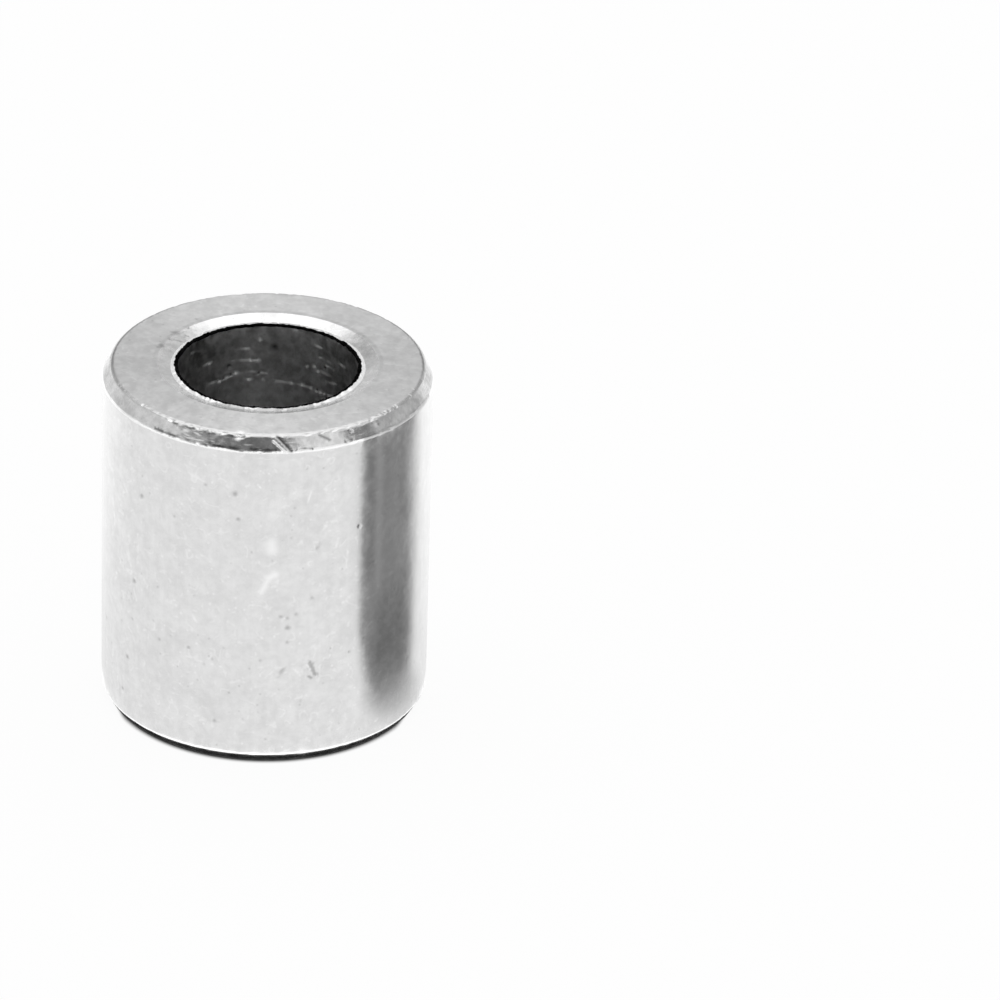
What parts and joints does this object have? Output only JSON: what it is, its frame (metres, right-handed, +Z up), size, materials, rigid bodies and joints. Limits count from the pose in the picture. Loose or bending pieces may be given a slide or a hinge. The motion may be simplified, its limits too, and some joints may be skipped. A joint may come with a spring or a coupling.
{
  "type": "spacer sleeve",
  "caption": "Plain round metal spacer sleeve with a through bore, chamfered ends and shallow countersinks round the bore.",
  "frame": {"origin": "centre of the lower end face, on the surface that the sleeve stands on", "axes": "+Z up along the bore axis; X and Y lie in the lower end face, and the sleeve is round about Z"},
  "size_m": [0.018, 0.018, 0.02],
  "materials": {
    "turned_steel": "satin turned metal, neutral grey, tumbled edges"
  },
  "bodies": {
    "root": {"spacer_sleeve": "turned_steel"}
  },
  "joints": []
}
